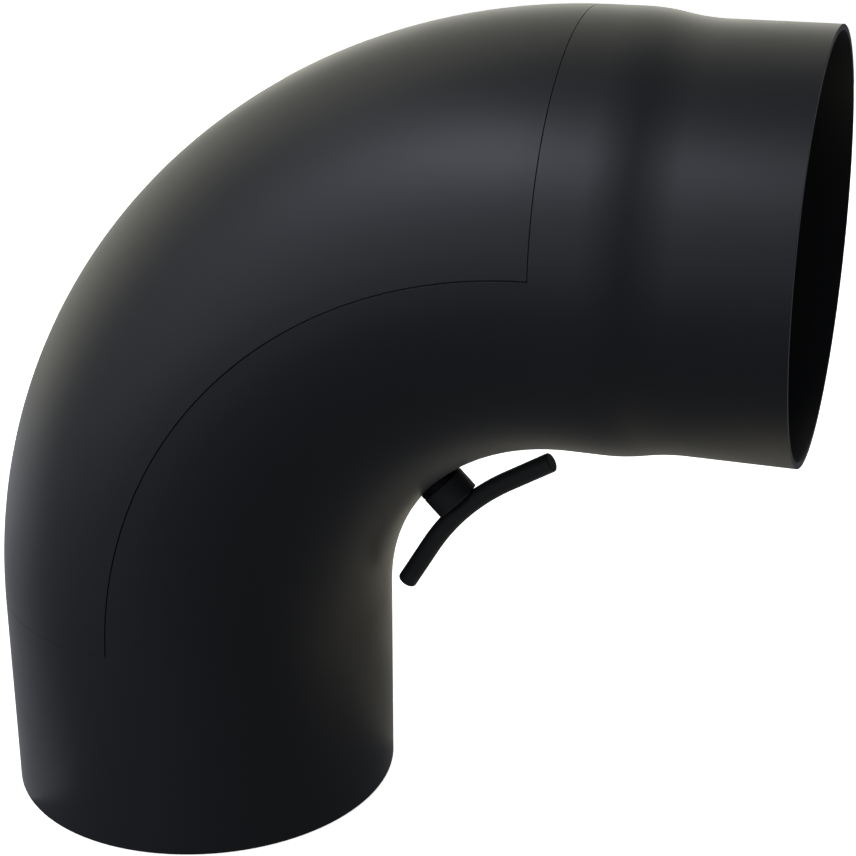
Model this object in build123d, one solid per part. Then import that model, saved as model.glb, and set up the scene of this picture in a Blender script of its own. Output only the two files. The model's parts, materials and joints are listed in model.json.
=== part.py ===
from build123d import *
import math
import os

# Flue elbow with a lift-off cleanout cover. Millimetres, +Z up.
# The origin is the centre of the lower rim. The lower leg rises along +Z,
# and the bend turns it to +X, where the leg ends in a drawn-in spigot.

# Driving dimensions: the tube
bore = 150.0
wall = 2.0
bend_radius = 158.0
lower_leg = 78.0
upper_plain = 12.0
neck_length = 29.0
neck_drop = 3.0
spigot_length = 37.0

# Driving dimensions: the cover and its seat
end_lip = 3.0
seam_offset = 2.0
seat_lap = 8.0
seat_sheet = 2.0

# Driving dimensions: the clamp
stud_diameter = 8.0
thread_pitch = 1.25
thread_turns = 6
washer_diameter = 18.0
washer_thickness = 2.0
sleeve_diameter = 18.0
sleeve_floor = 0.8
sleeve_edge = 0.3
bar_diameter = 7.5
bar_span = 80.0
bar_bend_radius = 86.0
bar_bend_angle = 29.0
bar_cradle = 0.3
foot_flange = 24.0
foot_flange_thickness = 4.0
foot_boss = 15.0
foot_height = 13.0
edge_break = 0.8

# Clearances
side_gap = 0.4
upper_gap = 0.2
lower_gap = 0.1
seat_gap = 0.3
weld_gap = 0.05
throat_hole_clearance = 0.6
thread_clearance = 0.1
washer_clearance = 0.25
saddle_gap = 0.3
turning_gap = 0.05
tip_gap = 0.3

# Sizes that follow
inner_radius = bore / 2
outer_radius = inner_radius + wall
upper_leg = upper_plain + neck_length + spigot_length
upper_axis_height = lower_leg + bend_radius
throat_radius = bend_radius - outer_radius
seam_radius = bend_radius + seam_offset
stud_radius = stud_diameter / 2
bar_radius = bar_diameter / 2
reach = 2 * (bend_radius + outer_radius + lower_leg + upper_leg)

bend_centre = (bend_radius, 0, lower_leg)
bend_axis = Axis(bend_centre, (0, 1, 0))
# The bisector of the bend: its local Z runs from the bend centre through the throat to the cover.
bisector = Plane(origin=bend_centre, x_dir=(1, 0, 1), z_dir=(-1, 0, 1))
mirror_plane = Plane(origin=bend_centre, x_dir=(0, 1, 0), z_dir=(1, 0, 1))

# Stations on the bisector, measured from the bend centre
washer_face = throat_radius - washer_thickness
sleeve_base = washer_face - turning_gap
stud_tip = sleeve_base - thread_turns * thread_pitch
sleeve_bore_end = stud_tip - tip_gap
bar_crown = sleeve_bore_end - sleeve_floor
sleeve_end = bar_crown - bar_cradle
bar_centre = bar_crown - bar_radius
cover_inside = bend_radius + inner_radius
foot_end = cover_inside - foot_height
stud_root = cover_inside - foot_flange_thickness


def ring_sector(inner, outer, start, sweep):
    """A piece of the tube's section, at the foot of the bend. Angle 0 is the throat side."""
    outside = CenterArc((0, 0), outer, start, sweep)
    inside = CenterArc((0, 0), inner, start, sweep)
    first_end = Line(inside @ 0, outside @ 0)
    last_end = Line(outside @ 1, inside @ 1)
    face = make_face([outside, last_end, inside, first_end])
    return Pos(0, 0, lower_leg) * face


def round_bend(section):
    """Carry a section round the quarter turn of the bend."""
    return revolve(section, axis=bend_axis, revolution_arc=90)


def torus_core(minor_radius):
    """A full ring on the bend's centre line, to form a face to the tube's curve."""
    return Pos(*bend_centre) * Rot(90, 0, 0) * Torus(bend_radius, minor_radius)


def bend_window(lower_edge, upper_edge, side_radius):
    """The space outside a side seam round the bend, between the two ring seams."""
    corner = (bend_radius - upper_edge, 0, lower_leg + lower_edge)
    block = Pos(*corner) * Box(reach, reach, reach, align=(Align.MAX, Align.CENTER, Align.MIN))
    barrel = Pos(*bend_centre) * Rot(90, 0, 0) * Cylinder(side_radius, reach)
    return block - barrel


def slab(low, high):
    """Everything between two heights above the foot of the bend."""
    block = Box(reach, reach, high - low, align=(Align.CENTER, Align.CENTER, Align.MIN))
    return Pos(0, 0, lower_leg + low) * block


def rod(radius, start, end):
    """A cylinder on the bisector between two stations."""
    return Pos(0, 0, start) * Cylinder(radius, end - start, align=(Align.CENTER, Align.CENTER, Align.MIN))


def neck_line(radius):
    """The drawn-in end of the upper leg in section: plain tube, two tangent arcs, spigot."""
    neck_start = bend_radius + upper_plain
    neck_end = neck_start + neck_length
    middle = (neck_start + neck_length / 2, radius - neck_drop / 2)
    plain = Line((bend_radius, radius), (neck_start, radius))
    falling = TangentArc(plain @ 1, middle, tangent=(1, 0))
    levelling = TangentArc(middle, (neck_end, radius - neck_drop), tangent=falling % 1)
    spigot = Line(levelling @ 1, (bend_radius + upper_leg, radius - neck_drop))
    return [plain, falling, levelling, spigot]


def make_bend_shell():
    section = Circle(outer_radius) - Circle(inner_radius)
    return round_bend(Pos(0, 0, lower_leg) * section)


def make_upper_leg():
    outside = neck_line(outer_radius)
    inside = neck_line(inner_radius)
    mouth = Line(outside[-1] @ 1, inside[-1] @ 1)
    root = Line(inside[0] @ 0, outside[0] @ 0)
    section = make_face(outside + [mouth] + inside + [root])
    return Pos(0, 0, upper_axis_height) * revolve(section, axis=Axis.X)


def make_elbow_tube():
    lower = extrude(Circle(outer_radius) - Circle(inner_radius), amount=lower_leg)
    tube = lower + make_bend_shell() + make_upper_leg()
    tube = tube - bend_window(end_lip, end_lip, seam_radius)
    throat_hole = rod(stud_radius + throat_hole_clearance, washer_face, throat_radius + 2 * wall)
    return tube - bisector * throat_hole


def make_cover():
    opening = bend_window(end_lip + lower_gap, end_lip + upper_gap, seam_radius + side_gap)
    return make_bend_shell() & opening


# The seat's sheet lies against the tube, and is set down a little where the cover rests on it.
seat_inside = inner_radius - weld_gap - seat_sheet
seat_on_tube = inner_radius - weld_gap
seat_under_cover = inner_radius - seat_gap
seam_angle = 90 + math.degrees(math.asin(seam_offset / inner_radius))
lap_angle = math.degrees(seat_lap / inner_radius)
butt_angle = math.degrees(seat_gap / inner_radius)


def make_rear_strip():
    on_tube = ring_sector(seat_inside, seat_on_tube, seam_angle - lap_angle, lap_angle)
    under_cover = ring_sector(seat_inside, seat_under_cover, seam_angle, lap_angle)
    return round_bend(on_tube) + round_bend(under_cover)


def make_lower_band():
    start = seam_angle + lap_angle + butt_angle
    sweep = 360 - 2 * start
    band = round_bend(ring_sector(seat_inside, seat_on_tube, start, sweep))
    band = band & slab(weld_gap, end_lip + seat_lap)
    set_down = round_bend(ring_sector(seat_under_cover, inner_radius, 90, 180))
    return band - (set_down & slab(end_lip, end_lip + 2 * seat_lap))


def make_stud():
    stud = rod(stud_radius, stud_tip, stud_root)
    tip_edge = stud.edges().sort_by(Axis.Z)[0]
    return bisector * chamfer(tip_edge, edge_break)


def make_stud_foot():
    """A turned boss under a round flange, its upper face formed to the inside of the cover."""
    flange = rod(foot_flange / 2, cover_inside - foot_flange_thickness, cover_inside)
    boss = rod(foot_boss / 2, foot_end, cover_inside)
    end_edge = boss.edges().sort_by(Axis.Z)[0]
    foot = flange + chamfer(end_edge, edge_break)
    socket = rod(stud_radius + weld_gap, foot_end, stud_root + weld_gap)
    return (bisector * (foot - socket)) & torus_core(inner_radius - weld_gap)


def make_saddle_washer():
    blank = rod(washer_diameter / 2, washer_face, throat_radius + washer_thickness)
    hole = rod(stud_radius + washer_clearance, washer_face, throat_radius + washer_thickness)
    return bisector * (blank - hole) - torus_core(outer_radius + saddle_gap)


def bar_ring(radius):
    """A full ring of round bar, on the arc of the bar's bend."""
    return Pos(0, 0, bar_centre - bar_bend_radius) * Rot(90, 0, 0) * Torus(bar_bend_radius, radius)


def make_sleeve():
    """A blind sleeve nut with a shallow cradle across its closed end for the bar."""
    blank = rod(sleeve_diameter / 2, sleeve_end, sleeve_base)
    rims = blank.edges().filter_by(GeomType.CIRCLE)
    blank = chamfer(rims, sleeve_edge)
    thread = rod(stud_radius + thread_clearance, sleeve_bore_end, sleeve_base)
    return bisector * (blank - thread - bar_ring(bar_radius + weld_gap))


def make_bar():
    """A round bar, bent in the middle, with two straight arms."""
    half_bend = bar_bend_angle / 2
    arc_axis = Axis((0, 0, bar_centre - bar_bend_radius), (0, 1, 0))
    section = Plane.YZ * Pos(0, bar_centre) * Circle(bar_radius)
    bend = revolve(section, axis=arc_axis, revolution_arc=bar_bend_angle).rotate(arc_axis, -half_bend)
    arm_start = bar_bend_radius * math.sin(math.radians(half_bend))
    arm_length = (bar_span / 2 - arm_start) / math.cos(math.radians(half_bend))
    arm = extrude(section, amount=arm_length).rotate(arc_axis, half_bend)
    bar = bend + arm + mirror(arm, about=Plane.YZ)
    circles = bar.edges().filter_by(GeomType.CIRCLE).sort_by(lambda edge: abs(edge.center().X))
    return bisector * fillet(circles[-2:], edge_break)


rear_strip = make_rear_strip()
lower_band = make_lower_band()

pieces = {
    "elbow_tube": make_elbow_tube(),
    "cleanout_cover": make_cover(),
    "seat_strip_rear": rear_strip,
    "seat_strip_front": mirror(rear_strip, about=Plane.XZ),
    "seat_band_lower": lower_band,
    "seat_band_upper": mirror(lower_band, about=mirror_plane),
    "clamp_stud": make_stud(),
    "stud_foot": make_stud_foot(),
    "saddle_washer": make_saddle_washer(),
    "handle_sleeve": make_sleeve(),
    "handle_bar": make_bar(),
}

os.makedirs("parts", exist_ok=True)
for name, shape in pieces.items():
    export_step(shape, f"parts/{name}.step")
    print(name, round(shape.volume, 1), "cubic mm")
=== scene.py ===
# %% [markdown]
# # A flue elbow with a cleanout cover
# A stove pipe turns a corner here. It is one steel tube, bent through a right angle, drawn in a
# little at one end so that the next pipe slides over it, and painted matt black. The outer half of
# the bend is cut free and lifts off, so that soot can be swept out. A threaded rod holds that
# cover down from inside, and a small handle in the throat of the bend pulls it tight.
#
# The imported solids give the sizes, so we load them first.

# %% Load the frame
import json
from math import acos, asin, atan2, cos, hypot, pi, radians, sin, sqrt

import bmesh
import bpy
from mathutils import Matrix, Vector


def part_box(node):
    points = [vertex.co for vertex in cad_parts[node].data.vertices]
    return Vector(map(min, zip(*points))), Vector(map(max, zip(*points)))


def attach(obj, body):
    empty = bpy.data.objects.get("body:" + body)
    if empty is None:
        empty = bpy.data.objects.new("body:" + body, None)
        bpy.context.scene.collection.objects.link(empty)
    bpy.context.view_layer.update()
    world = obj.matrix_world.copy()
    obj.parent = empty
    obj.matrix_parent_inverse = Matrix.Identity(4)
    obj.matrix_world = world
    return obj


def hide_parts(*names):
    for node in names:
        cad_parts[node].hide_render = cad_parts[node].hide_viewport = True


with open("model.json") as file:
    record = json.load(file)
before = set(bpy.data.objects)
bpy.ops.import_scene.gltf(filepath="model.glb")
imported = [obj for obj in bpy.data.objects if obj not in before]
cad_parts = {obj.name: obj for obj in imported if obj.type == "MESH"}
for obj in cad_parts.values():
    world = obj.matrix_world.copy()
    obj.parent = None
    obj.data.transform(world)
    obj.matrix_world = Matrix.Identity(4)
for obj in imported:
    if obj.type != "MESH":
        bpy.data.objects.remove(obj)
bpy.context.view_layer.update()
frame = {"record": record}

# %% [markdown]
# ## The camera
# The picture was taken from a little above and to the right, with a longish lens. The viewing angle
# decides which faces we have to get right, so the camera comes before any modelling. A point of aim
# on the object, two angles and a distance say where it stands, which is easier to adjust than a
# place and a rotation.

# %% Camera
view_azimuth = radians(18.69)
view_elevation = radians(20.62)
view_distance = 0.6842
aim = Vector((0.0965, 0.0, 0.1555))
backwards = Vector((
    sin(view_azimuth) * cos(view_elevation),
    -cos(view_azimuth) * cos(view_elevation),
    sin(view_elevation),
))
camera_data = bpy.data.cameras.new("camera")
camera_data.sensor_width = 36.0
camera_data.lens = 77.2
camera = bpy.data.objects.new("camera", camera_data)
camera.location = aim + view_distance * backwards
camera.rotation_euler = backwards.to_track_quat("Z", "Y").to_euler()
bpy.context.scene.collection.objects.link(camera)
bpy.context.scene.camera = camera
print("camera stands at", tuple(round(v, 3) for v in camera.location))

# %% [markdown]
# ## Sizes
# The two pipe joints are in the record, and between them they give nearly every size of the tube.
# What is left, such as the lap of the cover's seat, is written once, in millimetres, with `mm`
# turning it to metres.

# %% Sizes of the tube
mm = 0.001
mounts = {mount["name"]: mount for mount in frame["record"]["mounts"]}
socket = mounts["lower_socket"]["dims"]
spigot = mounts["horizontal_spigot"]["dims"]
mouth = Vector(mounts["horizontal_spigot"]["pos_m"])

inner_radius = socket["r_mm"] * mm
lower_leg = socket["length_mm"] * mm
spigot_radius = spigot["r_mm"] * mm
spigot_length = spigot["length_mm"] * mm
outer_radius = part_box("elbow_tube")[1].y
wall = outer_radius - inner_radius
bend_radius = mouth.z - lower_leg
throat_radius = bend_radius - outer_radius
neck_length = 29.0 * mm
neck_drop = outer_radius - spigot_radius
neck_start = mouth.x - spigot_length - neck_length
bend_centre = Vector((bend_radius, 0, lower_leg))
print("bore", inner_radius, "wall", round(wall, 4), "bend radius", round(bend_radius, 4))

# %% [markdown]
# The clamp lies on the bisector of the bend, a line at 45 degrees. Pieces on it are easiest to model
# upright, with Z along the line and zero at the centre of the bend, and to turn into place in one
# move. A height along that line is called a station here.

# %% The bisector
bisector = Matrix.Translation(bend_centre) @ Matrix.Rotation(radians(-45), 4, "Y")
to_bisector = bisector.inverted()
print("the throat lies at", tuple(round(v, 4) for v in bisector @ Vector((0, 0, throat_radius))))

# %% [markdown]
# ## From a bmesh to a piece
# Every piece ends in the same way: its bmesh becomes an object at the origin, shaded smooth, that
# rides on a body of the frame and stands for a node of it. One helper does that, so a piece's own
# cell holds nothing but its shape.
#
# A turned or cut edge of steel is never perfectly sharp. A narrow bevel with hardened normals gives
# each one the thin line of light that the eye expects, and leaves the faces beside it flat.

# %% Helpers that finish a piece
def make_piece(bm, name, body, node=None):
    """Turn a bmesh into an object that rides on a body, and that may stand for a node."""
    mesh = bpy.data.meshes.new(name)
    bm.to_mesh(mesh)
    bm.free()
    mesh.shade_smooth()
    piece = bpy.data.objects.new(name, mesh)
    bpy.context.scene.collection.objects.link(piece)
    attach(piece, body)
    if node:
        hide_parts(node)
    print(name, len(mesh.vertices), "vertices before modifiers, on", body)
    return piece


def thicken(piece, thickness):
    """Give a surface the thickness of sheet metal, inwards."""
    sheet = piece.modifiers.new("sheet", "SOLIDIFY")
    sheet.thickness = thickness
    sheet.offset = -1
    sheet.use_even_offset = True


def soften_edges(piece, width, segments=2):
    """Break the sharp edges by a narrow bevel."""
    edges = piece.modifiers.new("broken edges", "BEVEL")
    edges.width = width
    edges.segments = segments
    edges.limit_method = "ANGLE"
    edges.angle_limit = radians(40)
    edges.harden_normals = True


def face_outwards(bm, centre_line):
    """Point all faces of a shell away from its centre line."""
    bmesh.ops.recalc_face_normals(bm, faces=bm.faces)
    bm.faces.ensure_lookup_table()
    face = bm.faces[0]
    middle = face.calc_center_median()
    if face.normal.dot(middle - centre_line(middle)) < 0:
        bmesh.ops.reverse_faces(bm, faces=bm.faces)


def bend_line(point):
    """The nearest point on the circle that the bend's centre line follows."""
    arm = Vector((point.x - bend_centre.x, 0, point.z - bend_centre.z))
    return bend_centre + arm.normalized() * bend_radius


# %% [markdown]
# ## The tube
# The real elbow starts as a straight length of tube that is pushed round a mandrel. We can do much
# the same: a ring of points is extruded up the lower leg, spun through a quarter turn about the
# centre of the bend, and extruded again along the upper leg.
#
# The side seams of the cover run along the bend, so the ring gets a point exactly on each of them.
# Two arcs, spun from one vertex each, meet there: one for the throat half and one for the outer half.

# %% The ring that is drawn along the tube
seam_offset = 2.0 * mm
ring_steps = 60
bend_steps = 60
seam_angle = acos(-seam_offset / outer_radius)
merge_distance = 0.01 * mm


def spin_arc(bm, radius, start, end, steps, height):
    """Spin one vertex into an arc about the lower leg's axis. Angle 0 is the throat side."""
    first = bm.verts.new((radius * cos(start), radius * sin(start), height))
    bmesh.ops.spin(
        bm, geom=[first], cent=(0, 0, height), axis=(0, 0, 1), angle=end - start, steps=steps
    )


def round_bend(bm, geom, angle=radians(90), steps=bend_steps):
    """Spin geometry from the foot of the bend towards its head, and return the last copy."""
    spun = bmesh.ops.spin(
        bm, geom=geom, cent=bend_centre, axis=(0, 1, 0), angle=angle, steps=steps
    )
    return spun["geom_last"]


tube = bmesh.new()
spin_arc(tube, outer_radius, -seam_angle, seam_angle, ring_steps, 0)
spin_arc(tube, outer_radius, seam_angle, 2 * pi - seam_angle, ring_steps - 2, 0)
bmesh.ops.remove_doubles(tube, verts=tube.verts, dist=merge_distance)
print("the ring has", len(tube.verts), "points")

# %% [markdown]
# The upper leg is drawn in by two arcs that flow into each other, first falling and then levelling
# out. Each ring is a copy of the last one, moved along the leg and scaled about its axis.

# %% Draw the ring along the tube
leg_rings = 6
neck_rings = 20
neck_arc = (neck_length**2 + neck_drop**2) / (4 * neck_drop)


def leg_radius(x):
    """The outer radius of the upper leg at a distance along it."""
    along = min(max(x - neck_start, 0), neck_length)
    if along < neck_length / 2:
        return outer_radius - neck_arc + sqrt(neck_arc**2 - along**2)
    return spigot_radius + neck_arc - sqrt(neck_arc**2 - (neck_length - along) ** 2)


def extrude_ring(bm, edges, move):
    """Extrude a ring of edges by a move, and return the new ring's edges and points."""
    made = bmesh.ops.extrude_edge_only(bm, edges=edges)["geom"]
    points = [e for e in made if isinstance(e, bmesh.types.BMVert)]
    bmesh.ops.translate(bm, verts=points, vec=move)
    return [e for e in made if isinstance(e, bmesh.types.BMEdge)], points


ring = tube.edges[:]
for _ in range(leg_rings):
    ring, points = extrude_ring(tube, ring, (0, 0, lower_leg / leg_rings))
head = round_bend(tube, ring + points)
ring = [e for e in head if isinstance(e, bmesh.types.BMEdge)]

stations = [bend_radius, neck_start]
stations += [neck_start + neck_length * (i + 1) / neck_rings for i in range(neck_rings)]
stations += [mouth.x - spigot_length * (1 - (i + 1) / leg_rings) for i in range(leg_rings)]
for before, after in zip(stations, stations[1:]):
    ring, points = extrude_ring(tube, ring, (after - before, 0, 0))
    shrink = leg_radius(after) / leg_radius(before)
    about = Matrix.Translation((0, 0, -mouth.z))
    bmesh.ops.scale(tube, verts=points, vec=(1, shrink, shrink), space=about)
print("the tube has", len(tube.faces), "faces")

# %% [markdown]
# Now the cover's window is cut. On the real part a saw leaves a ring seam at each end of the bend,
# square across the pipe, so a plane does it here too. The two planes cut only the faces of the outer
# half, and what lies between them is deleted.

# %% Cut the window
end_lip = 3.0 * mm
tiny = 0.001 * mm
seam_slack = 0.05 * mm


def from_bend_axis(point):
    """Distance from the axis that the bend turns about."""
    return hypot(point.x - bend_centre.x, point.z - bend_centre.z)


def outer_half(bm):
    """The faces of the bend outside its side seams, with their edges and points."""
    faces = [
        f for f in bm.faces
        if all(
            v.co.z > lower_leg - tiny and v.co.x < bend_radius + tiny
            and from_bend_axis(v.co) > bend_radius + seam_offset - seam_slack
            for v in f.verts
        )
    ]
    edges = {e for f in faces for e in f.edges}
    verts = {v for f in faces for v in f.verts}
    return faces + list(edges) + list(verts)


lower_cut = Vector((0, 0, lower_leg + end_lip))
upper_cut = Vector((bend_radius - end_lip, 0, 0))
bmesh.ops.bisect_plane(tube, geom=outer_half(tube), dist=tiny, plane_co=lower_cut, plane_no=(0, 0, 1))
bmesh.ops.bisect_plane(tube, geom=outer_half(tube), dist=tiny, plane_co=upper_cut, plane_no=(1, 0, 0))
window = [
    f for f in outer_half(tube)
    if isinstance(f, bmesh.types.BMFace)
    and f.calc_center_median().z > lower_cut.z and f.calc_center_median().x < upper_cut.x
]
bmesh.ops.delete(tube, geom=window, context="FACES")
print("the window took", len(window), "faces away")

# %% [markdown]
# The stud comes out through a small round hole in the throat. A patch of the grid is deleted there,
# the edge of the gap is extruded, and the new points are drawn in to a circle on the curve of the
# tube. Each one keeps its own direction from the hole's middle, so the faces round it stay in order.
# The patch is measured a quarter of a cell too large, so that the points on its edge belong to it.

# %% Cut the hole in the throat
stud_radius = 4.0 * mm
hole_clearance = 0.6 * mm
throat_hole_radius = stud_radius + hole_clearance
patch_rows = 4
patch_columns = 2
patch_margin = 0.25
patch_angle = (patch_rows + patch_margin) * radians(90) / bend_steps
patch_width = outer_radius * sin((patch_columns + patch_margin) * 2 * seam_angle / ring_steps)


def throat_station(x, y, tube_radius):
    """The station of the throat's surface beside the bisector, on a tube of that radius."""
    return sqrt((bend_radius - sqrt(tube_radius**2 - y**2)) ** 2 - x**2)


def near_throat(point):
    """Whether a point lies in the patch round the hole."""
    local = to_bisector @ point
    if hypot(local.x, local.z) > throat_radius + 2 * wall:
        return False
    return abs(atan2(local.x, local.z)) < patch_angle and abs(local.y) < patch_width


patch = [f for f in tube.faces if near_throat(f.calc_center_median())]
bmesh.ops.delete(tube, geom=patch, context="FACES")
patch_rim = [e for e in tube.edges if e.is_boundary and all(near_throat(v.co) for v in e.verts)]
hole_edges, hole_points = extrude_ring(tube, patch_rim, (0, 0, 0))
for point in hole_points:
    local = to_bisector @ point.co
    around = Vector((local.x, local.y)).normalized() * throat_hole_radius
    point.co = bisector @ Vector((around.x, around.y, throat_station(around.x, around.y, outer_radius)))
print("the hole has", len(hole_edges), "edges")

# %% [markdown]
# The sheet gets its thickness inwards, so that the outside keeps its size, and the sawn edges are
# broken.

# %% Finish the tube
sawn_edge = 0.15 * mm

face_outwards(tube, lambda point: Vector((0, 0, point.z)))
flue_tube = make_piece(tube, "flue_tube", "elbow", "elbow_tube")
thicken(flue_tube, wall)
soften_edges(flue_tube, sawn_edge)

# %% [markdown]
# ## The cover
# The cover is the piece that was cut out, so it is made from the same arc about the same axis, and
# trimmed by the same planes, moved by the width of the cut. That keeps the gap even all round.

# %% Cover
side_gap = 0.4 * mm
upper_gap = 0.2 * mm
lower_gap = 0.1 * mm
cover_angle = acos(-(seam_offset + side_gap) / outer_radius)


def whole(bm):
    """All points, edges and faces of a bmesh."""
    return bm.verts[:] + bm.edges[:] + bm.faces[:]


def level_cut(bm, height, **sides):
    """Cut everything at one height, and clear a side if asked."""
    bmesh.ops.bisect_plane(
        bm, geom=whole(bm), dist=tiny, plane_co=(0, 0, height), plane_no=(0, 0, 1), **sides
    )


cover = bmesh.new()
spin_arc(cover, outer_radius, cover_angle, 2 * pi - cover_angle, ring_steps - 2, lower_leg)
round_bend(cover, cover.verts[:] + cover.edges[:])
level_cut(cover, lower_cut.z + lower_gap, clear_inner=True)
bmesh.ops.bisect_plane(
    cover, geom=whole(cover), dist=tiny,
    plane_co=upper_cut - Vector((upper_gap, 0, 0)), plane_no=(1, 0, 0), clear_outer=True,
)
face_outwards(cover, bend_line)
cover_shell = make_piece(cover, "cover_shell", "cover", "cleanout_cover")
thicken(cover_shell, wall)
soften_edges(cover_shell, sawn_edge)

# %% [markdown]
# ## The cover's seat
# A flush cover would fall through its own window, so strips of sheet are welded inside the tube
# along all four seams. Each one lies against the tube on one side of the seam, and is set in by
# three tenths of a millimetre on the other, where the cover comes down on it.
#
# The side strips are an arc with that small step in it, spun round the bend.

# %% Side strips
seat_lap = 8.0 * mm
seat_sheet = 2.0 * mm
weld_gap = 0.05 * mm
seat_gap = 0.3 * mm
seat_on_tube = inner_radius - weld_gap
seat_under_cover = inner_radius - seat_gap
seat_seam = radians(90) + asin(seam_offset / inner_radius)
lap_angle = seat_lap / inner_radius
seat_step = 0.4 * mm
step_angle = seat_step / inner_radius
strip_steps = 6
sheared_edge = 0.25 * mm


def make_strip(name, node, side):
    """A strip along one side seam. The side is 1 at the rear and -1 at the front."""
    bm = bmesh.new()
    first, last = seat_seam - lap_angle, seat_seam + lap_angle
    spin_arc(bm, seat_on_tube, side * first, side * seat_seam, strip_steps, lower_leg)
    spin_arc(bm, seat_under_cover, side * (seat_seam + step_angle), side * last, strip_steps, lower_leg)
    step_ends = sorted(bm.verts, key=lambda v: abs(abs(atan2(v.co.y, v.co.x)) - seat_seam))[:2]
    bm.edges.new(step_ends)
    round_bend(bm, bm.verts[:] + bm.edges[:])
    face_outwards(bm, bend_line)
    strip = make_piece(bm, name, "elbow", node)
    thicken(strip, seat_sheet)
    soften_edges(strip, sheared_edge)
    return strip


strip_rear = make_strip("strip_rear", "seat_strip_rear", 1)
strip_front = make_strip("strip_front", "seat_strip_front", -1)

# %% [markdown]
# The end bands follow the ring seams. One is cut from a short piece of bend by two planes, and two
# more cuts mark its step. The other is its mirror image, about a plane through the bend's centre,
# and a mirror turns faces inside out, so its normals are set again.

# %% End bands
butt_angle = seat_gap / inner_radius
band_start = seat_seam + lap_angle + butt_angle
band_foot = lower_leg + weld_gap
band_head = lower_leg + end_lip + seat_lap
band_step = 0.5 * mm
band_columns = 40
band_rows = 8
band_turn = radians(5)
mirror_bend = (
    Matrix.Translation(bend_centre)
    @ Matrix.Scale(-1, 4, Vector((1, 0, 1)).normalized())
    @ Matrix.Translation(-bend_centre)
)


def make_band(name, node, mirrored):
    """A band along one ring seam."""
    bm = bmesh.new()
    spin_arc(bm, seat_on_tube, band_start, 2 * pi - band_start, band_columns, lower_leg)
    round_bend(bm, bm.verts[:] + bm.edges[:], band_turn, band_rows)
    level_cut(bm, band_foot, clear_inner=True)
    level_cut(bm, band_head, clear_outer=True)
    level_cut(bm, lower_cut.z)
    level_cut(bm, lower_cut.z + band_step)
    for point in bm.verts:
        if point.co.z > lower_cut.z + band_step - tiny:
            centre = bend_line(point.co)
            point.co = centre + (point.co - centre) * (seat_under_cover / seat_on_tube)
    if mirrored:
        bmesh.ops.transform(bm, matrix=mirror_bend, verts=bm.verts)
    face_outwards(bm, bend_line)
    band = make_piece(bm, name, "elbow", node)
    thicken(band, seat_sheet)
    soften_edges(band, sheared_edge)
    return band


band_lower = make_band("band_lower", "seat_band_lower", False)
band_upper = make_band("band_upper", "seat_band_upper", True)

# %% [markdown]
# Each strip is held to the tube by a row of tack welds along its free edge. A tack is a flat drop of
# steel. A low-poly ball, squashed towards the wall and turned to the tube's curve, is enough for one.

# %% Tack welds of the strips
tack_length = 6.0 * mm
tack_width = 3.4 * mm
tack_height = 2.0 * mm
tack_rise = 0.3 * tack_height
tacks_per_strip = 7
tack_angle = seat_seam - lap_angle

tacks = bmesh.new()
for side in (1, -1):
    for i in range(tacks_per_strip):
        turn = radians(90) * (i + 0.5) / tacks_per_strip
        drop = bmesh.ops.create_icosphere(tacks, subdivisions=2, radius=0.5)["verts"]
        bmesh.ops.scale(tacks, verts=drop, vec=(tack_height, tack_width, tack_length))
        bmesh.ops.translate(tacks, verts=drop, vec=(inner_radius - tack_rise, 0, 0))
        bmesh.ops.rotate(tacks, verts=drop, matrix=Matrix.Rotation(side * tack_angle, 3, "Z"))
        bmesh.ops.translate(tacks, verts=drop, vec=(0, 0, lower_leg))
        bmesh.ops.rotate(tacks, verts=drop, cent=bend_centre, matrix=Matrix.Rotation(turn, 3, "Y"))
seat_tacks = make_piece(tacks, "seat_tacks", "elbow")

# %% [markdown]
# ## The stud
# The rod that crosses the flue is ordinary threaded rod, eight millimetres across with a pitch of
# one and a quarter. A thread is one section, drawn along a helix: a spin does that when every step
# also moves the section along by its share of the pitch. Neighbouring turns then meet point on
# point, and merging them closes the surface. Spare turns at both ends are cut off again.
#
# The record's two joints of the handle say how many turns it makes on the thread and how far they
# carry it. That is the pitch, and with the washer below the throat it gives the tip of the stud.

# %% Stud with its thread
joints = {joint["name"]: joint for joint in frame["record"]["behaviour"]["joints"]}
turns_held = joints["handle_turn"]["range_deg"][1] / 360
pitch = joints["handle_travel"]["range_m"][1] / turns_held
cover_inside = bend_radius + inner_radius
washer_height = 2.0 * mm
turning_gap = 0.05 * mm
flange_depth = 4.0 * mm
washer_face = throat_radius - washer_height
sleeve_base = washer_face - turning_gap
stud_tip = sleeve_base - turns_held * pitch
stud_root = cover_inside - flange_depth
edge_break = 0.8 * mm
thread_depth = 0.61 * pitch
steps_per_turn = 20
spare_turns = 2
root_flat = pitch / 4
flank = pitch * 5 / 16
crest_flat = pitch / 8

stud = bmesh.new()
root_radius = stud_radius - thread_depth
profile = [(root_radius, 0), (root_radius, root_flat), (stud_radius, root_flat + flank)]
profile += [(stud_radius, root_flat + flank + crest_flat), (root_radius, pitch)]
section = [stud.verts.new((radius, 0, stud_tip - spare_turns * pitch + rise)) for radius, rise in profile]
edges = [stud.edges.new(pair) for pair in zip(section, section[1:])]
turns = int((stud_root - stud_tip) / pitch) + 2 * spare_turns
bmesh.ops.spin(
    stud, geom=section + edges, cent=(0, 0, 0), axis=(0, 0, 1), angle=2 * pi * turns,
    steps=turns * steps_per_turn, dvec=(0, 0, pitch / steps_per_turn),
)
bmesh.ops.remove_doubles(stud, verts=stud.verts, dist=merge_distance)
level_cut(stud, stud_tip, clear_inner=True)
level_cut(stud, stud_root, clear_outer=True)
bmesh.ops.holes_fill(stud, edges=[e for e in stud.edges if e.is_boundary])

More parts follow.
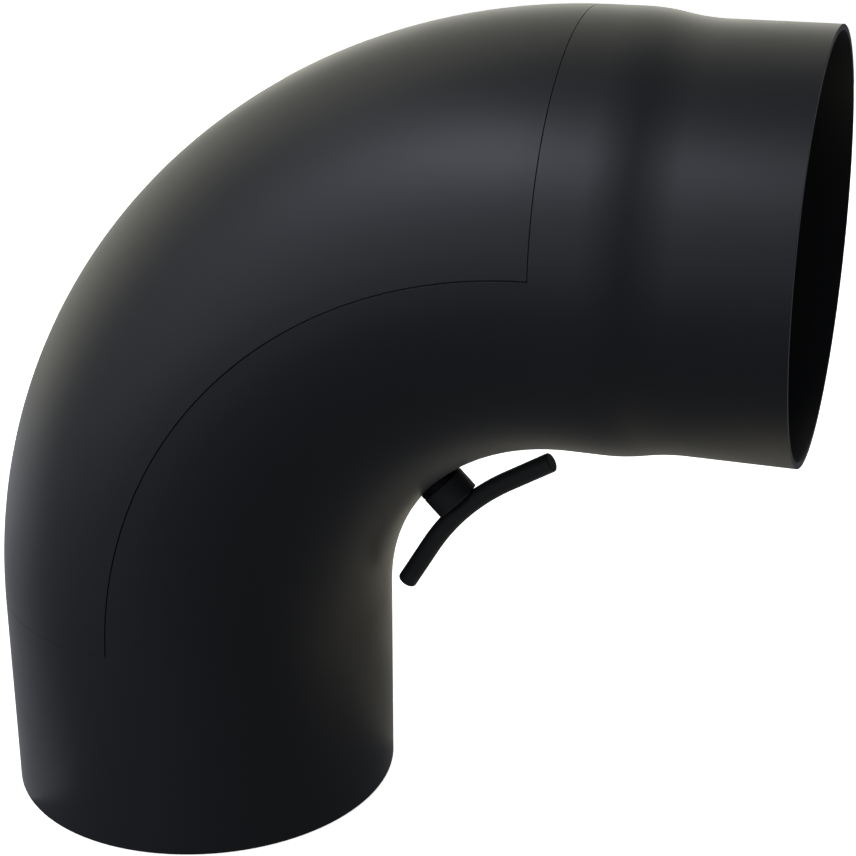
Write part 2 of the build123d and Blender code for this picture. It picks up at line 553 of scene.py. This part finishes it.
# %% [markdown]
# The end of the rod is turned to a short cone, so that the handle finds the thread. Every point
# near the tip is pulled in to that cone.

# %% Point the stud
thread_crease = radians(25)

for point in stud.verts:
    cone = stud_radius - edge_break + max(point.co.z - stud_tip, 0)
    reach = hypot(point.co.x, point.co.y)
    if reach > cone:
        bmesh.ops.scale(stud, verts=[point], vec=(cone / reach, cone / reach, 1))
bmesh.ops.transform(stud, matrix=bisector, verts=stud.verts)
bmesh.ops.recalc_face_normals(stud, faces=stud.faces)
threaded_stud = make_piece(stud, "threaded_stud", "cover", "clamp_stud")
threaded_stud.data.set_sharp_from_angle(angle=thread_crease)
print("thread pitch", round(pitch / mm, 3), "mm, and the handle holds", turns_held, "turns of it")

# %% [markdown]
# ## Turned pieces
# The foot, the washer and the sleeve were made on a lathe, and a lathe is a spin: half of the section
# is drawn beside the axis and turned right round. `use_merge` joins the last copy to the first.

# %% Turn a section on the bisector
def turn_section(bm, section, steps=64):
    """Turn a closed or axis-to-axis section, given as radius and station, into a solid."""
    points = [bm.verts.new((radius, 0, station)) for radius, station in section]
    pairs = list(zip(points, points[1:]))
    if section[0][0] > 0:
        pairs.append((points[-1], points[0]))
    edges = [bm.edges.new(pair) for pair in pairs]
    bmesh.ops.spin(
        bm, geom=points + edges, cent=(0, 0, 0), axis=(0, 0, 1), angle=2 * pi, steps=steps, use_merge=True
    )
    bmesh.ops.remove_doubles(bm, verts=bm.verts, dist=merge_distance)


def set_on_bisector(bm, name, body, node=None):
    """Point the faces outwards, turn the shape on to the bisector and make it a piece."""
    bmesh.ops.recalc_face_normals(bm, faces=bm.faces)
    bmesh.ops.transform(bm, matrix=bisector, verts=bm.verts)
    return make_piece(bm, name, body, node)


# %% [markdown]
# The foot is a boss with a flange. It holds the root of the stud, and the top of the flange is formed
# to the inside of the cover, to be welded there. Its top points are simply lifted to that surface.

# %% Stud foot
foot_boss = 7.5 * mm
foot_flange = 12.0 * mm
foot_height = 13.0 * mm
foot_edge = 0.3 * mm
foot_end = cover_inside - foot_height
socket_wall = stud_radius + weld_gap


def cover_station(x, y, tube_radius):
    """The station of the cover's surface beside the bisector, on a tube of that radius."""
    return sqrt((bend_radius + sqrt(tube_radius**2 - y**2)) ** 2 - x**2)


foot = bmesh.new()
foot_section = [(0, stud_root + weld_gap), (socket_wall, stud_root + weld_gap), (socket_wall, foot_end)]
foot_section += [(foot_boss - edge_break, foot_end), (foot_boss, foot_end + edge_break)]
foot_section += [(foot_boss, stud_root), (foot_flange, stud_root), (foot_flange, cover_inside)]
foot_section += [(foot_flange * i / 4, cover_inside) for i in (3, 2, 1, 0)]
turn_section(foot, foot_section)
for point in foot.verts:
    if point.co.z > cover_inside - tiny:
        point.co.z = cover_station(point.co.x, point.co.y, inner_radius - weld_gap)
weld_foot = set_on_bisector(foot, "weld_foot", "cover", "stud_foot")
soften_edges(weld_foot, foot_edge)

# %% [markdown]
# A weld bead is a row of small frozen waves. One round section is turned about the foot, and every
# point is moved a little in and out as it goes round, to give the waves.

# %% Weld bead round the foot
bead_radius = 1.4 * mm
bead_sides = 10
bead_sink = 0.5 * bead_radius
bead_waves = 36
steps_per_wave = 5
wave_height = 0.16 * mm

bead = bmesh.new()
bead_place = Matrix.Translation((foot_flange, 0, cover_inside)) @ Matrix.Rotation(radians(90), 4, "X")
bmesh.ops.create_circle(bead, radius=bead_radius, segments=bead_sides, matrix=bead_place)
bmesh.ops.spin(
    bead, geom=bead.verts[:] + bead.edges[:], cent=(0, 0, 0), axis=(0, 0, 1), angle=2 * pi,
    steps=bead_waves * steps_per_wave, use_merge=True,
)
for point in bead.verts:
    around = atan2(point.co.y, point.co.x)
    base = cover_station(point.co.x, point.co.y, inner_radius)
    point.co.z += base - cover_inside - bead_sink + wave_height * sin(bead_waves * around)
foot_bead = set_on_bisector(bead, "foot_bead", "cover")

# %% [markdown]
# ## The washer
# The thin dark line between the stem and the throat is a washer whose upper side is shaped like a
# saddle, so that the stem can pull square on a curved tube. It is turned flat, and its upper points
# are then set down on the tube's surface.

# %% Saddle washer
washer_radius = 9.0 * mm
washer_clearance = 0.25 * mm
washer_hole = stud_radius + washer_clearance
washer_edge = 0.25 * mm
saddle_gap = 0.1 * mm

washer = bmesh.new()
washer_section = [(washer_hole, washer_face), (washer_radius, washer_face), (washer_radius, throat_radius)]
washer_section += [((washer_radius + washer_hole) / 2, throat_radius), (washer_hole, throat_radius)]
turn_section(washer, washer_section)
for point in washer.verts:
    if point.co.z > throat_radius - tiny:
        point.co.z = throat_station(point.co.x, point.co.y, outer_radius + saddle_gap)
saddle = set_on_bisector(washer, "saddle", "washer", "saddle_washer")
soften_edges(saddle, washer_edge)

# %% [markdown]
# ## The handle
# The stem is a short blind sleeve with a thread inside. The bar lies in a shallow cradle across its
# closed end. The cradle is a groove along the bar, so the end is first cut into lanes by planes, and
# the points in the lanes are then lifted to clear the bar.

# %% Sleeve
sleeve_radius = 9.0 * mm
sleeve_edge = 0.3 * mm
cradle_edge = 0.1 * mm
thread_clearance = 0.1 * mm
tip_gap = 0.3 * mm
end_wall = 0.8 * mm
bore_radius = stud_radius + thread_clearance
bore_end = stud_tip - tip_gap
bar_radius = 3.75 * mm
bar_crown = bore_end - end_wall
bar_cradle = 0.3 * mm
sleeve_end = bar_crown - bar_cradle
bar_centre = bar_crown - bar_radius
bar_bend_radius = 86.0 * mm
bar_pivot = Vector((0, 0, bar_centre - bar_bend_radius))
cradle_half = sqrt((bar_radius + weld_gap) ** 2 - (bar_radius - bar_cradle) ** 2)


def bar_station(x, y, radius):
    """The station of the bar's upper side above a point, for a bar of that radius."""
    return bar_pivot.z + sqrt((bar_bend_radius + sqrt(max(radius**2 - y**2, 0))) ** 2 - x**2)


sleeve = bmesh.new()
sleeve_section = [(0, bore_end), (bore_radius, bore_end), (bore_radius, sleeve_base)]
sleeve_section += [(sleeve_radius - sleeve_edge, sleeve_base), (sleeve_radius, sleeve_base - sleeve_edge)]
sleeve_section += [(sleeve_radius, sleeve_end + sleeve_edge), (sleeve_radius - sleeve_edge, sleeve_end)]
sleeve_section += [(sleeve_radius * share, sleeve_end) for share in (0.6, 0.3, 0)]
turn_section(sleeve, sleeve_section)
lanes = 8
for i in range(lanes + 1):
    lane = cradle_half * (2 * i / lanes - 1)
    closed_end = [f for f in sleeve.faces if f.calc_center_median().z < sleeve_end + sleeve_edge]
    around = list({e for f in closed_end for e in f.edges} | {v for f in closed_end for v in f.verts})
    bmesh.ops.bisect_plane(
        sleeve, geom=closed_end + around, dist=tiny, plane_co=(0, lane, 0), plane_no=(0, 1, 0)
    )
for point in sleeve.verts:
    if point.co.z < sleeve_end + sleeve_edge and abs(point.co.y) < cradle_half + tiny:
        point.co.z = max(point.co.z, bar_station(point.co.x, point.co.y, bar_radius + weld_gap))
stem = set_on_bisector(sleeve, "stem", "handle", "handle_sleeve")
soften_edges(stem, cradle_edge)

# %% [markdown]
# The bar is plain round bar, bent in the middle only, so that two straight arms are left, and sawn off
# square. A circle is extruded along one arm, spun through the bend and extruded along the other. The
# ends are filled, and a wider bevel rounds off the saw's edge.

# %% Bar
bar_span = 80.0 * mm
half_bend = radians(14.5)
bar_sides = 40
bar_bend_steps = 24
arm_length = (bar_span / 2 - bar_bend_radius * sin(half_bend)) / cos(half_bend)

bar = bmesh.new()
bar_place = Matrix.Translation((-arm_length, 0, bar_centre)) @ Matrix.Rotation(radians(90), 4, "Y")
bmesh.ops.create_circle(bar, radius=bar_radius, segments=bar_sides, matrix=bar_place)
bmesh.ops.rotate(bar, verts=bar.verts, cent=bar_pivot, matrix=Matrix.Rotation(-half_bend, 3, "Y"))
ring, points = extrude_ring(bar, bar.edges[:], arm_length * Vector((cos(half_bend), 0, sin(half_bend))))
spun = bmesh.ops.spin(
    bar, geom=ring + points, cent=bar_pivot, axis=(0, 1, 0), angle=2 * half_bend, steps=bar_bend_steps
)
ring = [e for e in spun["geom_last"] if isinstance(e, bmesh.types.BMEdge)]
extrude_ring(bar, ring, arm_length * Vector((cos(half_bend), 0, -sin(half_bend))))
bmesh.ops.holes_fill(bar, edges=[e for e in bar.edges if e.is_boundary])
toggle_bar = set_on_bisector(bar, "toggle_bar", "handle", "handle_bar")
soften_edges(toggle_bar, edge_break, 4)

# %% [markdown]
# A small fillet weld on each side joins the bar to the sleeve. It follows the bar, so it is spun about
# the same centre, and it fades out at both ends, where the welder starts and stops.

# %% Fillet welds of the handle
fillet_radius = 0.9 * mm
fillet_side = cradle_half + 0.45 * fillet_radius
fillet_station = sleeve_end - 0.25 * fillet_radius
fillet_turn = asin(0.8 * sleeve_radius / bar_bend_radius)
fillet_sides = 10
fillet_steps = 48
fillet_waves = 12
fillet_ripple = 0.1
fillet_tip = 0.1

fillets = bmesh.new()
across_bar = Matrix.Rotation(radians(90), 4, "Y")
for side in (1, -1):
    place = Matrix.Translation((0, side * fillet_side, fillet_station))
    loop = bmesh.ops.create_circle(
        fillets, radius=fillet_radius, segments=fillet_sides, matrix=place @ across_bar
    )["verts"]
    edges = list({e for v in loop for e in v.link_edges})
    bmesh.ops.rotate(fillets, verts=loop, cent=bar_pivot, matrix=Matrix.Rotation(-fillet_turn, 3, "Y"))
    bmesh.ops.spin(
        fillets, geom=loop + edges, cent=bar_pivot, axis=(0, 1, 0),
        angle=2 * fillet_turn, steps=fillet_steps,
    )
for point in fillets.verts:
    turn = asin(point.co.x / bar_bend_radius) / fillet_turn
    core = Vector((point.co.x, fillet_side if point.co.y > 0 else -fillet_side, fillet_station))
    fade = sqrt(max(1 - turn**2, fillet_tip**2)) * (1 + fillet_ripple * sin(fillet_waves * pi * turn))
    point.co = core + (point.co - core) * fade
bmesh.ops.holes_fill(fillets, edges=[e for e in fillets.edges if e.is_boundary])
handle_welds = set_on_bisector(fillets, "handle_welds", "handle")

# %% [markdown]
# ## Finishes
# Colours are given as hex values, the way a screen shows them, and a shader needs them linear, so one
# function does the sum. Another adds a node with its settings and its links.

# %% Helpers for finishes
def hex_colour(code):
    """An sRGB hex colour as the linear colour that a shader takes."""
    channels = [int(code[i:i + 2], 16) / 255 for i in (1, 3, 5)]
    linear = [c / 12.92 if c <= 0.04045 else ((c + 0.055) / 1.055) ** 2.4 for c in channels]
    return (*linear, 1.0)


def add_node(tree, kind, settings=(), links=()):
    """Add a node, set its sockets or properties by name, and link sockets into it."""
    node = tree.nodes.new(kind)
    for name, value in dict(settings).items():
        if name in node.inputs:
            node.inputs[name].default_value = value
        else:
            setattr(node, name, value)
    for name, source in dict(links).items():
        tree.links.new(source, node.inputs[name])
    return node


def new_finish(name):
    """An empty material with its tree, its shader and its object coordinates."""
    material = bpy.data.materials.new(name)
    material.use_nodes = True
    tree = material.node_tree
    shader = tree.nodes["Principled BSDF"]
    place = add_node(tree, "ShaderNodeTexCoord").outputs["Object"]
    return material, tree, shader, place


# %% [markdown]
# Flue paint is a silicone resin with carbon black and a fine mineral filler, sprayed on and baked hard
# by the first fires. The filler stands a few hundredths of a millimetre proud, which is what makes
# the paint matt: light is spread into a wide, soft gloss. At a glancing angle the tips of the grit catch
# more of it, so a thin sheen is laid over the gloss. The real grit is too fine to show in a picture, so
# it is drawn at about a third of a millimetre. The spray also lies a little unevenly, so the colour and
# the gloss drift over a hand's breadth.
#
# The handle is brushed by hand with stove black, which dries smoother and duller, without the sheen. It
# drifts in the same way, so one function makes both.

# %% Black paints
grit_size = 0.33 * mm
grit_height = 0.02 * mm
grit_strength = 0.25
drift_size = 55.0 * mm
resin_ior = 1.5
sheen_roughness = 0.3


def black_paint(name, dark, pale, glossiest, dullest, sheen):
    """A matt paint whose colour and gloss drift, with a fine grit in it."""
    material, tree, shader, place = new_finish(name)
    drift = add_node(
        tree, "ShaderNodeTexNoise", {"Scale": 1 / drift_size, "Detail": 3.0}, {"Vector": place}
    )
    grit = add_node(
        tree, "ShaderNodeTexNoise", {"Scale": 1 / grit_size, "Detail": 2.0}, {"Vector": place}
    )
    colours = add_node(tree, "ShaderNodeMix", {"data_type": "RGBA"}, {"Factor": drift.outputs["Fac"]})
    colours.inputs["A"].default_value = hex_colour(dark)
    colours.inputs["B"].default_value = hex_colour(pale)
    gloss = add_node(
        tree, "ShaderNodeMapRange", {"To Min": glossiest, "To Max": dullest},
        {"Value": drift.outputs["Fac"]},
    )
    relief = add_node(
        tree, "ShaderNodeBump", {"Strength": grit_strength, "Distance": grit_height},
        {"Height": grit.outputs["Fac"]},
    )
    tree.links.new(colours.outputs["Result"], shader.inputs["Base Color"])
    tree.links.new(gloss.outputs["Result"], shader.inputs["Roughness"])
    tree.links.new(relief.outputs["Normal"], shader.inputs["Normal"])
    shader.inputs["IOR"].default_value = resin_ior
    shader.inputs["Sheen Weight"].default_value = sheen
    shader.inputs["Sheen Roughness"].default_value = sheen_roughness
    return material


flue_paint = black_paint("heat_resistant_black_paint", "#151618", "#19191b", 0.43, 0.51, 0.15)
stove_black = black_paint("stove_black", "#282929", "#2c2d2d", 0.64, 0.72, 0.0)
print("paint grit is drawn at", grit_size / mm, "mm")

# %% [markdown]
# The stud is zinc plated. Zinc is a bluish, rather dull white metal, and a plated thread looks a
# little cloudy. The washer is black oxide steel: bare steel, turned dark in a hot salt bath and
# oiled. It keeps the blotches of the bath, and reflects like metal, but darkly. Both are metals whose
# roughness drifts over a few millimetres, so one function makes both.

# %% Plated and blackened steel
def cloudy_metal(name, colour, cloud_size, detail, glossiest, dullest):
    """A metal whose gloss drifts in small clouds."""
    material, tree, shader, place = new_finish(name)
    cloud = add_node(
        tree, "ShaderNodeTexNoise", {"Scale": 1 / cloud_size, "Detail": detail}, {"Vector": place}
    )
    gloss = add_node(
        tree, "ShaderNodeMapRange", {"To Min": glossiest, "To Max": dullest},
        {"Value": cloud.outputs["Fac"]},
    )
    tree.links.new(gloss.outputs["Result"], shader.inputs["Roughness"])
    shader.inputs["Base Color"].default_value = hex_colour(colour)
    shader.inputs["Metallic"].default_value = 1.0
    print(name, "has clouds", round(cloud_size / mm, 1), "mm wide")
    return material


plating_cloud = 4.0 * mm
bath_blotch = 3.0 * mm
zinc = cloudy_metal("zinc_plate", "#c3c7cb", plating_cloud, 2.0, 0.25, 0.42)
black_oxide = cloudy_metal("black_oxide", "#222223", bath_blotch, 3.0, 0.38, 0.5)

# %% [markdown]
# Each piece now gets its finish. The table lists each finish with the name of the record's slot that it
# belongs to.

# %% Dress the pieces
painted = [flue_tube, cover_shell, strip_rear, strip_front, band_lower, band_upper, seat_tacks]
painted += [weld_foot, foot_bead]
brushed = [stem, toggle_bar, handle_welds]
finishes = [(painted, flue_paint, "black_flue_paint"), (brushed, stove_black, "black_flue_paint")]
finishes += [([threaded_stud], zinc, "zinc_plated_steel"), ([saddle], black_oxide, "black_oxide_steel")]
for pieces, material, slot in finishes:
    for piece in pieces:
        piece.data.materials.append(material)
    print(material.name, "on", len(pieces), "pieces")

# %% [markdown]
# ## Floor and light
# The ground is white and has hardly a shadow, as on a light table: a sheet of white acrylic, lit from
# below. The floor is such a sheet. It doesn't mirror itself in the paint, because the black front of
# the pipe shows that the real room was dark on that side.

# %% Floor
floor_size = 12.0
floor_drop = 0.5 * mm
floor_glow = 0.9

ground = bmesh.new()
bmesh.ops.create_grid(ground, x_segments=1, y_segments=1, size=floor_size / 2)
bmesh.ops.translate(ground, verts=ground.verts, vec=(0, 0, -floor_drop))
floor_mesh = bpy.data.meshes.new("floor")
ground.to_mesh(floor_mesh)
ground.free()
floor = bpy.data.objects.new("floor", floor_mesh)
bpy.context.scene.collection.objects.link(floor)
floor.visible_glossy = False
floor.visible_diffuse = False

acrylic, tree, shader, place = new_finish("white_acrylic")
shader.inputs["Base Color"].default_value = hex_colour("#ededed")
shader.inputs["Roughness"].default_value = 0.6
shader.inputs["Emission Color"].default_value = hex_colour("#ffffff")
shader.inputs["Emission Strength"].default_value = floor_glow
floor_mesh.materials.append(acrylic)
print("floor is", floor_size, "metres wide")

# %% [markdown]
# Black paint shows its surroundings more than its colour, so the lights are placed where the paint
# must show something. A wall of light stands behind, strongest on the right, and a panel hangs over
# it: they draw the pale rim along the top. A softbox high in front on the left and a weak fill below
# it model the near side. The softbox is brighter where its lamp is, so a smaller panel stands for that.
# Cards on the ground are seen in the undersides and low on both sides.
#
# A panel's brightness follows from its power over its area, so each light is given by the brightness
# that it shows. The light from the front and the left is daylight, a little blue. The lamps behind
# are a little warmer, and the cards under the throat and the upper leg are cream.

# %% Lights
daylight = "#ecf1ff"
lamplight = "#fffeec"
cream = "#fff7d8"
softbox_distance = 1.6
card_height = 1.0 * mm


def area_light(name, place, outwards, width, height, brightness, colour):
    """A rectangular light at a place, with its back towards outwards."""
    data = bpy.data.lights.new(name, "AREA")
    data.shape = "RECTANGLE"
    data.size = width
    data.size_y = height
    data.energy = brightness * pi * width * height
    data.color = hex_colour(colour)[:3]
    light = bpy.data.objects.new(name, data)
    light.location = place
    light.rotation_euler = outwards.to_track_quat("Z", "Y").to_euler()
    light.visible_camera = False
    bpy.context.scene.collection.objects.link(light)
    print(name, "at", tuple(round(v, 2) for v in light.location))


def softbox(name, azimuth, elevation, width, height, brightness, colour):
    """A light that faces the object. The azimuth is in degrees from +X towards +Y."""
    turn, rise = radians(azimuth), radians(elevation)
    outwards = Vector((cos(turn) * cos(rise), sin(turn) * cos(rise), sin(rise)))
    area_light(name, aim + softbox_distance * outwards, outwards, width, height, brightness, colour)


def ground_card(name, x, y, width, depth, brightness, colour):
    """A card that lies on the ground and shines upwards."""
    area_light(name, (x, y, card_height), Vector((0, 0, -1)), width, depth, brightness, colour)


softbox("front_softbox", 232, 45, 1.4, 1.1, 1.4, daylight)
softbox("front_lamp", 242, 48, 0.5, 0.4, 6.5, daylight)
softbox("front_fill", 235, 8, 2.0, 1.0, 0.75, daylight)
softbox("back_wall_right", 105, 8, 1.3, 1.0, 2.41, lamplight)
softbox("back_wall_left", 154, 8, 1.65, 1.0, 1.06, lamplight)
softbox("back_overhead", 125, 45, 2.4, 1.1, 0.8, lamplight)
ground_card("right_card", 0.32, 0.03, 0.26, 0.16, 0.46, cream)
ground_card("throat_card", 0.13, 0.07, 0.12, 0.08, 0.22, cream)
ground_card("throat_back_card", 0.13, 0.155, 0.12, 0.09, 0.52, cream)
ground_card("middle_card", -0.025, 0.185, 0.19, 0.07, 1.55, cream)
ground_card("left_card", -0.2, 0.055, 0.3, 0.29, 0.35, daylight)
ground_card("far_left_card", -0.575, 0.15, 0.45, 0.5, 0.84, daylight)

# %% [markdown]
# The world gives the faint light of the room. A camera that looks past the floor sees white.

# %% World
room_brightness = 0.14

world = bpy.data.worlds.new("room")
world.use_nodes = True
bpy.context.scene.world = world
tree = world.node_tree
tree.nodes.clear()
path = add_node(tree, "ShaderNodeLightPath")
room = add_node(tree, "ShaderNodeBackground", {"Color": hex_colour(daylight), "Strength": room_brightness})
white = add_node(tree, "ShaderNodeBackground", {"Color": hex_colour("#ffffff"), "Strength": 1.0})
either = add_node(tree, "ShaderNodeMixShader", {}, {"Fac": path.outputs["Is Camera Ray"]})
tree.links.new(room.outputs["Background"], either.inputs[1])
tree.links.new(white.outputs["Background"], either.inputs[2])
add_node(tree, "ShaderNodeOutputWorld", {}, {"Surface": either.outputs["Shader"]})
bpy.context.scene.view_settings.view_transform = "Standard"
print("the room's brightness is", room_brightness)

# %% Finish
bpy.context.view_layer.update()
